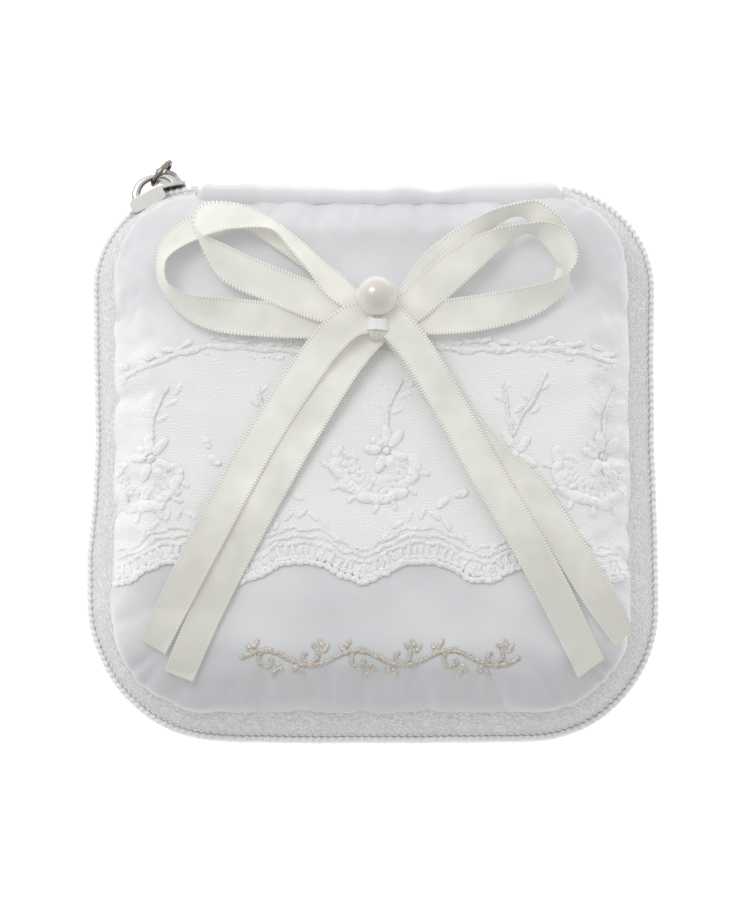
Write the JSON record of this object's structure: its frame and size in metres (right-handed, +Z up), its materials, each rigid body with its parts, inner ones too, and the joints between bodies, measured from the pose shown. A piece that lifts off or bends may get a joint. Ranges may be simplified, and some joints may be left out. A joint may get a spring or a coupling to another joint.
{
  "type": "ring bearer pillow case",
  "caption": "Square padded satin ring pillow case with a zip round three sides, a folding spine, a lace band and a ribbon bow with a pearl.",
  "frame": {"origin": "centre of the flat underside, on the surface the closed case lies on", "axes": "+Z up through the front cover, +Y towards the folding spine, +X to the right when the front is seen with the spine at the top"},
  "size_m": [0.119, 0.1239, 0.0464],
  "materials": {
    "satin": "padded duchess satin, cool white, soft sheen",
    "lining": "plain white satin lining",
    "foam": "soft wadding, hidden under the satin",
    "board": "stiff card, hidden under the satin",
    "zip_tape": "white woven herringbone tape",
    "zip_coil": "spun nylon coil, off-white",
    "pillow_satin": "white satin",
    "ribbon": "ivory double-faced satin ribbon",
    "lace_net": "fine white tulle net",
    "lace_thread": "white rayon embroidery thread",
    "scroll_thread": "champagne metallic embroidery thread",
    "pearl": "ivory imitation pearl",
    "slider_metal": "bright nickel-plated zinc"
  },
  "bodies": {
    "base": {"back_cover": "satin", "back_foam": "foam", "back_board": "board", "back_lining": "lining", "back_zip_tape": "zip_tape", "back_coil": "zip_coil", "zip_end_stops": "slider_metal", "ring_pillow": "pillow_satin", "ring_ribbon_left": "ribbon", "ring_ribbon_right": "ribbon"},
    "spine": {"spine_panel": "satin", "spine_lining": "lining"},
    "lid": {"front_cover": "satin", "front_foam": "foam", "front_board": "board", "front_lining": "lining", "front_zip_tape": "zip_tape", "front_coil": "zip_coil", "lace_band": "lace_net", "lace_top_edge": "lace_thread", "lace_scallop_edge": "lace_thread", "lace_flowers": "lace_thread", "lace_sprigs": "lace_thread", "embroidered_scroll": "scroll_thread", "bow_tail_left_outer": "ribbon", "bow_tail_left_inner": "ribbon", "bow_tail_right_front": "ribbon", "bow_tail_right_back": "ribbon", "bow_loop_left_lower": "ribbon", "bow_loop_left_upper": "ribbon", "bow_loop_right_lower": "ribbon", "bow_loop_right_upper": "ribbon", "bow_knot": "ribbon", "pearl": "pearl", "pearl_thread": "lace_thread"},
    "slider": {"slider_body": "slider_metal", "slider_crown": "slider_metal"},
    "ring": {"jump_ring": "slider_metal"},
    "tab": {"pull_tab": "slider_metal"}
  },
  "joints": [
    {"name": "spine_fold", "type": "hinge", "parent": "base", "child": "spine", "pos_m": [0, 0.05535, 0.008], "axis": [-1, 0, 0], "range_deg": [0, 80]},
    {"name": "lid_fold", "type": "hinge", "parent": "spine", "child": "lid", "pos_m": [0, 0.05535, 0.028], "axis": [-1, 0, 0], "range_deg": [0, 80]},
    {"name": "slider_travel", "type": "hinge", "parent": "base", "child": "slider", "pos_m": [-0.0365, 0.03475, 0.018], "axis": [0, 0, 1], "range_deg": [0, 55]},
    {"name": "ring_swing", "type": "hinge", "parent": "slider", "child": "ring", "pos_m": [-0.04366, 0.06122, 0.018], "axis": [0.9755, -0.22, 0], "range_deg": [0, 160]},
    {"name": "tab_swing", "type": "hinge", "parent": "ring", "child": "tab", "pos_m": [-0.04366, 0.06122, 0.0145], "axis": [0.22, 0.9755, 0], "range_deg": [-20, 20]}
  ],
  "couplings": [
    {"joint": "spine_fold", "follows": "lid_fold", "ratio": 1}
  ]
}
